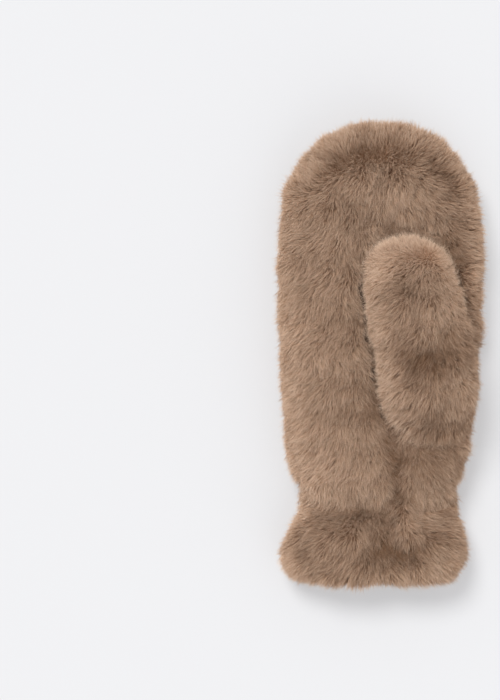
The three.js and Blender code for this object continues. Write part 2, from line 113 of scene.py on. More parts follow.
def wander(points: np.ndarray, wavelength: float, seed: int) -> np.ndarray:
    """Work out a smooth random value at each point, as the sum of a few waves.

    Args:
        points: The points, one a row.
        wavelength: The distance over which the value changes.
        seed: The seed of this pattern.

    Returns:
        Values of about -1 to 1.
    """
    waves = 10
    usual_peak = 1.5
    rng = np.random.default_rng(seed)
    total = np.zeros(len(points))
    for _ in range(waves):
        way = unit(rng.normal(size=(1, 3)))[0] * rng.uniform(0.6, 1.5)
        total += np.sin(points @ way * (2.0 * math.pi / wavelength) + rng.uniform(0.0, 2.0 * math.pi))
    return total / math.sqrt(waves / 2.0) / usual_peak


def select_none() -> None:
    """Deselect every object."""
    bpy.ops.object.select_all(action="DESELECT")


def select_only(piece: bpy.types.Object) -> None:
    """Make one piece the only selected and active one.

    Args:
        piece: The piece.
    """
    select_none()
    piece.select_set(True)
    bpy.context.view_layer.objects.active = piece


def read_vectors(items: bpy.types.bpy_prop_collection, name: str) -> np.ndarray:
    """Read one vector of every item.

    Args:
        items: Vertices of a mesh.
        name: The vector's name, such as co or normal.

    Returns:
        The vectors, one a row.
    """
    values = np.empty(len(items) * 3)
    items.foreach_get(name, values)
    return values.reshape(-1, 3)


class Side(Enum):
    """The two kinds of face that a skin has."""

    FURRY = 0
    BACKING = 1


@dataclass(frozen=True)
class Finish:
    """What every finish has: its name, and how rough and how shiny it is."""

    name: str
    roughness: float = 0.9
    shine: float = 0.1

    def start(self) -> tuple[bpy.types.Material, bpy.types.NodeTree, bpy.types.Node]:
        """Start the material.

        Returns:
            The material, its node tree and its shader.
        """
        material = bpy.data.materials.new(self.name)
        material.use_nodes = True
        shader = material.node_tree.nodes["Principled BSDF"]
        shader.inputs["Roughness"].default_value = self.roughness
        shader.inputs["Specular IOR Level"].default_value = self.shine
        return material, material.node_tree, shader

    def ramp(self, tree: bpy.types.NodeTree, stops: list[tuple[float, Colour]]) -> bpy.types.Node:
        """Add a colour ramp.

        Args:
            tree: The material's node tree.
            stops: Places from 0 to 1 with their screen colours.

        Returns:
            The ramp's node.
        """
        node = tree.nodes.new("ShaderNodeValToRGB")
        elements = node.color_ramp.elements
        while len(elements) < len(stops):
            elements.new(0.5)
        for element, (place, colour) in zip(elements, stops):
            element.position = place
            element.color = linear(*colour)
        return node

    def relief(self, tree: bpy.types.NodeTree, shader: bpy.types.Node, height: bpy.types.NodeSocket,
               strength: float, depth: float) -> None:
        """Raise the surface by a bump.

        Args:
            tree: The material's node tree.
            shader: The material's shader.
            height: The socket that gives the height, from 0 to 1.
            strength: How strongly the bump shows.
            depth: How deep it is.
        """
        bump = tree.nodes.new("ShaderNodeBump")
        bump.inputs["Strength"].default_value = strength
        bump.inputs["Distance"].default_value = depth
        tree.links.new(height, bump.inputs["Height"])
        tree.links.new(bump.outputs["Normal"], shader.inputs["Normal"])


@dataclass(frozen=True)
class StrandFinish(Finish):
    """The dyed fibre of the pile: dark at the foot, light at the tip, no two strands alike."""

    roughness: float = 0.62
    shine: float = 0.25
    foot: Colour = (113, 81, 58)
    body_dark: Colour = (134, 99, 72)
    body_light: Colour = (205, 169, 139)
    tip_dark: Colour = (158, 121, 92)
    tip_light: Colour = (245, 219, 194)
    dark_middle: float = 0.5
    light_middle: float = 0.45
    sheen: float = 0.25
    sheen_spread: float = 0.5
    sheen_tint: Colour = (214, 188, 163)

    def material(self) -> bpy.types.Material:
        """Build the strand's material. It reads the strand's tone, which holds painted light and painted
        shade besides its own colour, and the way along it from its UV map.

        Returns:
            The material.
        """
        material, tree, shader = self.start()
        shader.inputs["Sheen Weight"].default_value = self.sheen
        shader.inputs["Sheen Roughness"].default_value = self.sheen_spread
        shader.inputs["Sheen Tint"].default_value = linear(*self.sheen_tint)
        place = tree.nodes.new("ShaderNodeUVMap")
        place.uv_map = STRAND_MAP
        split = tree.nodes.new("ShaderNodeSeparateXYZ")
        tree.links.new(place.outputs["UV"], split.inputs["Vector"])
        dark_stops = [(0.0, self.foot), (self.dark_middle, self.body_dark), (1.0, self.tip_dark)]
        light_stops = [(0.0, self.foot), (self.light_middle, self.body_light), (1.0, self.tip_light)]
        dark, light = self.ramp(tree, dark_stops), self.ramp(tree, light_stops)
        mix = tree.nodes.new("ShaderNodeMix")
        mix.data_type = "RGBA"
        for ramp, socket in ((dark, "A"), (light, "B")):
            tree.links.new(split.outputs["Y"], ramp.inputs["Fac"])
            tree.links.new(ramp.outputs["Color"], mix.inputs[socket])
        tree.links.new(split.outputs["X"], mix.inputs["Factor"])
        tree.links.new(mix.outputs["Result"], shader.inputs["Base Color"])
        return material


@dataclass(frozen=True)
class UndercoatFinish(Finish):
    """The dense, short foot of the pile that shows as depth between the strands."""

    roughness: float = 0.95
    deep: Colour = (128, 97, 74)
    high: Colour = (182, 146, 118)
    grain: float = 1400.0
    grain_detail: float = 3.0
    relief_strength: float = 0.6
    relief_depth: float = 0.5 * MM

    def material(self) -> bpy.types.Material:
        """Build the undercoat: a fine uneven grain in its colour and its bump.

        Returns:
            The material.
        """
        material, tree, shader = self.start()
        place = tree.nodes.new("ShaderNodeTexCoord")
        noise = tree.nodes.new("ShaderNodeTexNoise")
        noise.inputs["Scale"].default_value = self.grain
        noise.inputs["Detail"].default_value = self.grain_detail
        tree.links.new(place.outputs["Object"], noise.inputs["Vector"])
        ramp = self.ramp(tree, [(0.0, self.deep), (1.0, self.high)])
        tree.links.new(noise.outputs["Fac"], ramp.inputs["Fac"])
        tree.links.new(ramp.outputs["Color"], shader.inputs["Base Color"])
        self.relief(tree, shader, noise.outputs["Fac"], self.relief_strength, self.relief_depth)
        return material


@dataclass(frozen=True)
class BackingFinish(Finish):
    """The knitted backing that the inside of the mitten shows: columns of fine loops."""

    shine: float = 0.15
    sheen: float = 0.15
    groove: Colour = (92, 72, 58)
    crest: Colour = (150, 124, 102)
    gauge: float = 1.3 * MM
    course: float = 1.0 * MM
    unevenness: float = 0.6
    relief_strength: float = 0.8
    relief_depth: float = 0.4 * MM

    def material(self) -> bpy.types.Material:
        """Build the knit from two crossing bands, along and across the mitten.

        Returns:
            The material.
        """
        material, tree, shader = self.start()
        shader.inputs["Sheen Weight"].default_value = self.sheen
        place = tree.nodes.new("ShaderNodeTexCoord")
        height = tree.nodes.new("ShaderNodeMath")
        height.operation = "MULTIPLY"
        for socket, (axis, pitch) in enumerate((("X", self.gauge), ("Y", self.course))):
            wave = tree.nodes.new("ShaderNodeTexWave")
            wave.bands_direction = axis
            wave.inputs["Scale"].default_value = 2.0 * math.pi / (WAVE_TURN * pitch)
            wave.inputs["Distortion"].default_value = self.unevenness
            wave.inputs["Detail"].default_value = 1.0
            tree.links.new(place.outputs["Object"], wave.inputs["Vector"])
            tree.links.new(wave.outputs["Fac"], height.inputs[socket])
        ramp = self.ramp(tree, [(0.0, self.groove), (1.0, self.crest)])
        tree.links.new(height.outputs["Value"], ramp.inputs["Fac"])
        tree.links.new(ramp.outputs["Color"], shader.inputs["Base Color"])
        self.relief(tree, shader, height.outputs["Value"], self.relief_strength, self.relief_depth)
        return material


@dataclass(frozen=True)
class PaperFinish(Finish):
    """The pale matt sheet that the mitten lies on, which glows a little so that it stays even."""

    colour: Colour = (180, 180, 181)
    glow: float = 0.75

    def material(self) -> bpy.types.Material:
        """Build the sheet's material.

        Returns:
            The material.
        """
        material, _, shader = self.start()
        shader.inputs["Base Color"].default_value = linear(*self.colour)
        shader.inputs["Emission Color"].default_value = linear(*self.colour)
        shader.inputs["Emission Strength"].default_value = self.glow
        return material


@dataclass(frozen=True)
class Fold:
    """A fold or dent pressed into the top of the mitten along a line, in millimetres.

    The depth is negative on a swelling. The painted shade darkens the fur there for each millimetre of
    depth, as the shade that falls in the fold, so a row with a depth of a tenth of a millimetre only paints
    shade; where depth and painted shade have opposite signs it paints light instead. The draw is how
    strongly the fur beside the line leans towards it, and fades over draw_reach times the reach.
    """

    line: tuple[tuple[float, float], ...]
    reach: float
    depth: float
    # Painted shade for each millimetre of depth; a negative product of the two paints light.
    painted_shade: float = 0.1
    draw: float = 0.0
    draw_reach: float = 2.5

    def offset(self, points: np.ndarray) -> np.ndarray:
        """Work out the way from each point to the nearest place on the line, seen from above.

        Args:
            points: Points in metres.

        Returns:
            The ways in millimetres, with two numbers a row.
        """
        places = points[:, :2] / MM
        nearest = np.full((len(points), 2), 1e6)
        for start, end in zip(self.line, self.line[1:]):
            start, run = np.array(start), np.array(end) - np.array(start)
            t = np.clip((places - start) @ run / (run @ run), 0.0, 1.0)
            way = start + t[:, None] * run - places
            closer = np.linalg.norm(way, axis=1) < np.linalg.norm(nearest, axis=1)
            nearest[closer] = way[closer]
        return nearest

    def share(self, points: np.ndarray) -> np.ndarray:
        """Say how much of the fold each point feels, from 1 on its line to 0 well beside it."""
        return np.exp(-(np.linalg.norm(self.offset(points), axis=1) / self.reach) ** 2)

    def pull(self, points: np.ndarray) -> np.ndarray:
        """Work out how the nap is drawn towards the line: not on it, and most at its reach.

        Args:
            points: Roots of strands.

        Returns:
            Vectors that are added to the nap's way.
        """
        offset = self.offset(points)
        distance = np.linalg.norm(offset, axis=1)
        fading = np.exp(-(distance / (self.draw_reach * self.reach)) ** 2)
        strength = self.draw * fading * smoothstep(0.0, self.reach, distance)
        flat = offset / np.maximum(distance, 1e-6)[:, None] * strength[:, None]
        return np.column_stack([flat, np.zeros(len(points))])


# Columns of the tables of folds: line, reach, depth, painted shade, draw.
PALM_FOLDS = (
    # The crease on the thumb's left, down to the wrist, and the borders on its right and over its tip, with
    # painted shade in them.
    Fold(((-10.0, 47.0), (-5.5, 20.0), (-4.0, 0.0), (0.0, -22.0), (5.0, -44.0), (11.0, -64.0)),
         5.0, 4.5, 0.055, 0.8),
    Fold(((-9.0, 30.0), (-6.0, 0.0), (0.0, -34.0)), 10.0, 3.0, 0.023),
    Fold(((-4.0, -28.0), (1.0, -48.0), (9.0, -80.0)), 7.0, 0.1, 3.2),
    Fold(((11.0, -64.0), (12.0, -84.0)), 5.0, 3.0, 0.12),
    Fold(((33.0, 70.0), (41.0, 52.0), (49.0, 22.0), (54.0, -2.0)), 5.0, 5.0, 0.06),
    Fold(((2.0, 74.0), (20.0, 77.0), (33.0, 70.0)), 6.0, 2.5, 0.08),
    # Dents of the field over the fingers with painted shade, and painted light over the top and down the
    # left side.
    Fold(((27.0, 112.0), (36.0, 103.0), (41.0, 88.0), (44.0, 70.0), (47.0, 52.0)), 6.0, 1.5, 0.2),
    Fold(((-6.0, 86.0), (6.0, 80.0)), 7.0, 1.5, 0.1),
    Fold(((-16.0, 118.0), (14.0, 118.0)), 8.0, 0.1, -1.0),
    Fold(((-20.0, 92.0), (10.0, 92.0)), 15.0, 0.1, -0.9),
    Fold(((-42.0, 40.0), (-44.0, 0.0)), 16.0, 0.1, -1.0),
    # The heel of the hand, under the thumb and beside it: painted shade under the thumb's root and on the
    # right, painted light on the left.
    Fold(((30.0, -66.0), (46.0, -60.0)), 9.0, -4.0, 0.0),
    Fold(((8.0, -60.0), (44.0, -62.0)), 7.0, 0.1, 2.8),
    Fold(((36.0, -72.0), (42.0, -86.0)), 12.0, 0.1, 1.5),
    Fold(((-46.0, -24.0), (-38.0, -60.0)), 14.0, 0.1, -1.8),
    Fold(((-36.0, -72.0), (-30.0, -86.0)), 9.0, 0.1, -1.2),
    # The gathers of the wrist, with the slit and the ridge under it: painted shade in the gathers and the
    # slit, painted light on the ridge.
    Fold(((-44.0, -93.0), (-24.0, -96.0), (-8.0, -95.0)), 3.5, 1.3, 0.03, 0.2),
    Fold(((-10.0, -94.0), (-2.0, -95.0)), 4.0, 1.4, 0.04, 0.2),
    Fold(((7.0, -76.0), (7.5, -88.0)), 3.0, 2.5, 0.12, 0.5),
    Fold(((5.0, -98.0), (4.0, -110.0)), 4.0, 2.0, 0.1),
    Fold(((14.0, -92.0), (16.0, -112.0)), 3.5, -2.5, 0.06),
    Fold(((52.0, -85.0), (44.0, -90.0), (32.0, -95.0)), 4.0, 2.5, 0.08),
    # Dents of the cuff with painted shade in them, and painted light on its left.
    Fold(((-2.0, -116.0), (14.0, -118.0)), 9.0, 3.0, 0.18),
    Fold(((-46.0, -135.0), (-36.0, -130.0), (-28.0, -127.0)), 3.0, 2.5, 0.04),
    Fold(((-30.0, -101.0), (-44.0, -114.0)), 4.5, 2.0, 0.025),
    Fold(((34.0, -102.0), (46.0, -118.0)), 8.0, 2.0, 0.1),
    Fold(((-54.0, -124.0), (-40.0, -133.0)), 8.0, 0.1, -1.2),
)
# Painted shade down the thumb's right half, and painted light over its tip.
THUMB_FOLDS = (
    Fold(((26.0, -4.0), (44.0, 4.0)), 11.0, 1.5, 0.38),
    Fold(((33.0, -38.0), (46.0, -46.0)), 12.0, 1.0, 0.4),
    Fold(((44.0, 26.0), (38.0, 8.0)), 6.0, 0.1, 1.0),
    Fold(((2.0, 60.0), (12.0, 64.0), (24.0, 59.0)), 11.0, -0.1, 5.0),
)
# Painted shadow on the back's fur along the left of the hem, where it lies under the palm panel's edge.
BACK_PAINTED_SHADOW = (
    Fold(((-56.0, -138.0), (-6.0, -146.0)), 7.0, 0.1, 6.0),
)


@dataclass
class Skin:
    """The skin of one sewn piece, smoothed from the form of its solid."""

    node: str
    folds: tuple[Fold, ...] = ()
    floor_of_folds: float = 14 * MM
    low_end: float = -1.0
    low_end_height: float = 1.0
    fold_ramp: float = 8 * MM
    weld: float = 0.01 * MM
    voxel: float = 2.0 * MM
    smoothing: int = 16

    def build(self) -> bpy.types.Object:
        """Model the skin with the solid's own form, its locks worn down to low swellings.

        Returns:
            The skin's object.
        """
        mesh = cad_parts[self.node].data.copy()
        self.piece = bpy.data.objects.new(f"{self.node}_skin", mesh)
        bpy.context.scene.collection.objects.link(self.piece)
        mesh.materials.clear()
        select_only(self.piece)
        bpy.ops.object.mode_set(mode="EDIT")
        bpy.ops.mesh.select_all(action="SELECT")
        bpy.ops.mesh.remove_doubles(threshold=self.weld)
        bpy.ops.object.mode_set(mode="OBJECT")
        remesh = self.piece.modifiers.new("even_mesh", "REMESH")
        remesh.mode = "VOXEL"
        remesh.voxel_size = self.voxel
        bpy.ops.object.modifier_apply(modifier=remesh.name)
        bpy.ops.object.mode_set(mode="EDIT")
        bpy.ops.mesh.select_all(action="SELECT")
        bpy.ops.mesh.vertices_smooth(factor=0.5, repeat=self.smoothing)
        bpy.ops.object.mode_set(mode="OBJECT")
        bpy.ops.object.shade_smooth()
        self.press()
        self.read()
        return self.piece

    def press(self) -> None:
        """Press the folds into the top, wall and all, and lower the low end on to what it lies on."""
        mesh = self.piece.data
        points = read_vectors(mesh.vertices, "co")
        weight = smoothstep(self.floor_of_folds, self.floor_of_folds + self.fold_ramp, points[:, 2])
        drop = sum((fold.depth * MM * fold.share(points) for fold in self.folds), np.zeros(len(points)))
        points[:, 2] -= drop * weight
        if self.low_end_height < 1.0:
            base = points[:, 2].min()
            lowering = 1.0 - smoothstep(points[:, 1].min(), self.low_end, points[:, 1])
            points[:, 2] = base + (points[:, 2] - base) * (1.0 - (1.0 - self.low_end_height) * lowering)
        mesh.vertices.foreach_set("co", points.ravel())
        mesh.update()

    def read(self) -> None:
        """Read the finished mesh into arrays for the coats that grow on it."""
        mesh = self.piece.data
        mesh.calc_loop_triangles()
        self.points = read_vectors(mesh.vertices, "co")
        self.normals = read_vectors(mesh.vertices, "normal")
        count = len(mesh.loop_triangles)
        self.corners = np.empty(count * 3, np.int32)
        mesh.loop_triangles.foreach_get("vertices", self.corners)
        self.corners = self.corners.reshape(-1, 3)
        self.faces = np.empty(count, np.int32)
        mesh.loop_triangles.foreach_get("polygon_index", self.faces)

    def tree(self) -> BVHTree:
        """Give a search tree of the skin's triangles."""
        return BVHTree.FromPolygons(self.points.tolist(), self.corners.tolist())

    def sort_faces(self, trees: list[BVHTree], sight: float, lift: float) -> None:
        """Find the furry faces, which look out freely; the others are backing.

        Args:
            trees: Search trees of every skin.
            sight: How far a face has to look out.
            lift: How far off the face the look starts.
        """
        centres = self.points[self.corners].mean(axis=1)
        normals = unit(self.normals[self.corners].sum(axis=1))
        self.furry = np.array([
            all(tree.ray_cast(Vector(start), Vector(normal), sight)[0] is None for tree in trees)
            for start, normal in zip(centres + normals * lift, normals)
        ])

    def dress(self, undercoat: bpy.types.Material, backing: bpy.types.Material) -> None:
        """Give the furry faces the pile's foot, and the others the backing.

        Args:
            undercoat: The material of the pile's foot.
            backing: The material of the backing.
        """
        mesh = self.piece.data
        mesh.materials.append(undercoat)
        mesh.materials.append(backing)
        slots = np.full(len(mesh.polygons), Side.BACKING.value, np.int32)
        slots[self.faces[self.furry]] = Side.FURRY.value
        mesh.polygons.foreach_set("material_index", slots)


@dataclass
class Outline:
    """The outline of a form with one round end, seen from above, over the tips of its fur."""

    node: str
    dome: float
    window: float = 14 * MM
    step: float = 1 * MM

    def measure(self) -> None:
        """Measure the middle and the half width along the form from its solid."""
        low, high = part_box(self.node)
        points = np.array([tuple(v.co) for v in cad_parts[self.node].data.vertices])
        self.along = np.arange(low.y, high.y, self.step)
        left, right = [], []
        for place in self.along:
            near = points[np.abs(points[:, 1] - place) < self.window / 2]
            left.append(near[:, 0].min())
            right.append(near[:, 0].max())
        run = int(self.window / self.step)
        kernel = np.ones(run) / run
        inner = slice(run // 2, -(run // 2))
        ends = np.array([np.convolve(np.pad(side, run // 2, mode="edge"), kernel, mode="same")[inner]
                         for side in (left, right)])
        self.middle = ends.mean(axis=0)
        self.half = (ends[1] - ends[0]) / 2
        self.dome_start = high.y - self.dome

    def across(self, points: np.ndarray) -> np.ndarray:
        """Say how far off the middle points are.

        Args:
            points: Points on the form.

        Returns:
            Shares from -1 to 1 at the sides.
        """
        y = np.minimum(points[:, 1], self.dome_start)
        middle = np.interp(y, self.along, self.middle)
        return (points[:, 0] - middle) / np.interp(y, self.along, self.half)

    def above(self, points: np.ndarray) -> np.ndarray:
        """Say how far up the round end points are, from 0 to 1 at its tip."""
        return np.maximum(0.0, points[:, 1] - self.dome_start) / self.dome

    def inset(self, points: np.ndarray) -> np.ndarray:
        """Say how far inside the outline points are."""
        half = np.interp(np.minimum(points[:, 1], self.dome_start), self.along, self.half)
        return half * (1.0 - np.hypot(self.across(points), self.above(points)))


@dataclass
class Nap:
    """The way the pile lies over a form: to the hem, fanned to the sides, and outwards at the rim.

    The rim's pile and the field's pile part along a line inside the outline. It is clear over the
    round end, and on the +X side down to side_foot. Where whorl isn't 0 the pile turns sideways
    along the parting instead of standing up. Near the side seam the pile leans over the seam.
    """

    outline: Outline
    fan: float = 0.8
    middle: float = 0.0
    cuff_fan: float = 1.5
    cuff_top: float = -88 * MM
    cuff_blend: float = 22 * MM
    parting: float = 19 * MM
    parting_width: float = 9 * MM
    dome_rise: tuple[float, float] = (-0.02, 0.4)
    side_rise: tuple[float, float] = (0.2, 0.8)
    side_strength: float = 0.75
    side_foot: float = 10 * MM
    side_fade: float = 40 * MM
    whorl: float = 0.0
    whorl_place: float = 0.5
    whorl_slope: float = 3.0
    stray: float = 0.35
    stray_wave: float = 24 * MM
    droop: float = 0.05
    seam_height: float = 15 * MM
    seam_reach: float = 6 * MM
    seam_lean: float = 0.0
    folds: tuple[Fold, ...] = ()
    seed: int = 1

    def rim(self, points: np.ndarray, across: np.ndarray, above: np.ndarray) -> np.ndarray:
        """Say how far each point belongs to the rim, whose pile turns outwards.

        Args:
            points: Roots of strands.
            across: How far off the middle they are.
            above: How far up the round end they are.

        Returns:
            Shares from 0 in the field to 1 at the rim, in one column.
        """
        low, high = self.parting - self.parting_width, self.parting + self.parting_width
        beyond = 1.0 - smoothstep(low, high, self.outline.inset(points))
        up = smoothstep(self.side_foot - self.side_fade, self.side_foot, points[:, 1])
        side = self.side_strength * smoothstep(*self.side_rise, across) * up
        return (beyond * np.maximum(smoothstep(*self.dome_rise, above), side))[:, None]

    def way(self, points: np.ndarray) -> np.ndarray:
        """Give the direction in which the pile lies at each point, before it follows the surface.

        Args:
            points: Roots of strands.

        Returns:
            Vectors of length 1, and shorter where the pile parts and stands up.
        """
        across = self.outline.across(points)
        above = self.outline.above(points)
        zero = np.zeros(len(points))
        cuff = smoothstep(-self.cuff_top, self.cuff_blend - self.cuff_top, -points[:, 1])
        fan = self.fan + (self.cuff_fan - self.fan) * cuff
        hemward = unit(np.column_stack([fan * (across - self.middle), zero - 1.0, zero]))
        outward = unit(np.column_stack([across, above, zero]) + 1e-9)
        rim = self.rim(points, across, above)
        way = hemward * (1.0 - rim) + outward * rim
        turning = np.clip(self.whorl_slope * (across - self.whorl_place), -1.0, 1.0)
        way[:, 0] += self.whorl * (4.0 * rim * (1.0 - rim))[:, 0] * turning
        drawn = sum((fold.pull(points) for fold in self.folds if fold.draw), np.zeros_like(points))
        way = unit(way + drawn) * np.linalg.norm(way, axis=1, keepdims=True)
        turn = self.stray * wander(points, self.stray_wave, self.seed)
        cos, sin = np.cos(turn), np.sin(turn)
        x, y = way[:, 0] * cos - way[:, 1] * sin, way[:, 0] * sin + way[:, 1] * cos
        near_seam = np.exp(-((points[:, 2] - self.seam_height) / self.seam_reach) ** 2)
        return np.column_stack([x, y, way[:, 2] - self.droop + self.seam_lean * near_seam])


@dataclass
class Tufts:
    """Uneven groups that neighbouring strands gather in, one for each cell of a grid."""

    size: float
    seed: int

    def shares(self, cells: np.ndarray) -> np.ndarray:
        """Mix a cell's place into three even random shares.

        Args:
            cells: Whole-number places in the grid, one a row.

        Returns:
            Three shares from 0 to 1 a row.
        """
        mixed = cells[:, 0] * 73856093 ^ cells[:, 1] * 19349663 ^ cells[:, 2] * 83492791
        mixed = (mixed + self.seed * 2654435761) & 0xFFFFFFFF
        shares = []
        for factor in (2246822519, 3266489917, 668265263):
            value = (mixed * factor) & 0xFFFFFFFF
            value = ((value ^ (value >> 15)) * 2246822519) & 0xFFFFFFFF
            value = (value ^ (value >> 13)) & 0xFFFFFF
            shares.append(value / float(0x1000000))
        return np.column_stack(shares)

    def gather(self, points: np.ndarray) -> tuple[np.ndarray, np.ndarray]:
        """Find the tuft that each strand belongs to.

        Args:
            points: Roots of strands.

        Returns:
            The tufts' middles, and three random shares for each.
        """
        base = np.floor(points / self.size).astype(np.int64)
        nearest = np.full(len(points), np.inf)
        middles = np.zeros_like(points)
        chances = np.zeros_like(points)
        for offset in itertools.product((-1, 0, 1), repeat=3):
            cells = base + np.array(offset)
            shares = self.shares(cells)
            places = (cells + shares) * self.size
            distance = ((points - places) ** 2).sum(axis=1)
            closer = distance < nearest
            nearest[closer] = distance[closer]
            middles[closer] = places[closer]
            chances[closer] = shares[closer]
        return middles, chances


@dataclass
class Roots:
    """The roots of a coat's strands, with the lock and the tuft that each strand gathers in."""

    places: np.ndarray
    outward: np.ndarray
    inset: np.ndarray
    lock_middles: np.ndarray
    lock_chances: np.ndarray
    tuft_middles: np.ndarray
    tuft_chances: np.ndarray

    def along(self, vectors: np.ndarray) -> np.ndarray:
        """Take the part of each vector that lies along the skin."""
        return vectors - self.outward * (vectors * self.outward).sum(axis=1, keepdims=True)


@dataclass
class Strands:
    """The three points that each strand runs through, and its colour."""

    foot: np.ndarray
    middle: np.ndarray
    tip: np.ndarray
    outward: np.ndarray
    tone: np.ndarray
    # How far up its colours the foot starts: painted light where the folds paint light.
    pale: np.ndarray

    def only(self, keep: np.ndarray) -> "Strands":
        """Give the strands that are kept."""
        return Strands(*(values[keep] for values in vars(self).values()))


@dataclass(frozen=True)
class Tones:
    """How light each strand is, from 0 to 1, and how the tone varies over the mitten: at random, with
    painted light round the rim and painted shade and painted light from the folds.
    """

    base: float = 0.67
    waves: tuple[tuple[float, float, int], ...] = ((0.07, 40 * MM, 5), (0.07, 17 * MM, 6))
    lock_spread: float = 0.09
    tuft_spread: float = 0.17
    strand_spread: float = 0.16
    # Painted rim light: lighter within rim_width of the outline, and more on the -X side, which faces the
    # key light.
    painted_rim_light: float = 0.28
    rim_width: float = 20 * MM
    rim_middle: float = 0.65
    rim_slope: float = 0.2
    limits: tuple[float, float] = (0.02, 0.97)
    painted_light_gain: float = 1.5
    painted_light_limit: float = 0.6

    def mix(self, roots: Roots, outline: Outline, folds: tuple[Fold, ...],
            rng: np.random.Generator) -> tuple[np.ndarray, np.ndarray]:
        """Work out the tones of a coat's strands.

        Args:
            roots: The strands' roots.
            outline: The outline of the form that they grow on.
            folds: The folds whose painted shade, and painted light where it is negative, the strands take.
            rng: The random source.

        Returns:
            How light each strand is, and how far up its colours its foot starts, which is painted light.
        """
        tone = np.full(len(roots.places), self.base)
        for height, wavelength, seed in self.waves:
            tone += height * wander(roots.places, wavelength, seed)
        tone += self.lock_spread * (roots.lock_chances[:, 2] - 0.5)
        tone += self.tuft_spread * (roots.tuft_chances[:, 2] - 0.5)
        tone += rng.normal(scale=self.strand_spread, size=len(tone))
        # Painted light round the rim, stronger on the side that faces the key light.
        rim = 1.0 - smoothstep(0.0, self.rim_width, roots.inset)
        tone += self.painted_rim_light * rim * (self.rim_middle - self.rim_slope * outline.across(roots.places))
        # Painted shade from the folds; where the sum is negative it is painted light, which also lifts the
        # strands' feet.
        painted_shade = np.zeros(len(tone))
        for fold in folds:
            painted_shade += fold.painted_shade * fold.depth * fold.share(roots.places)
        return np.clip(tone - painted_shade, *self.limits), np.clip(-self.painted_light_gain * painted_shade, 0.0, self.painted_light_limit)


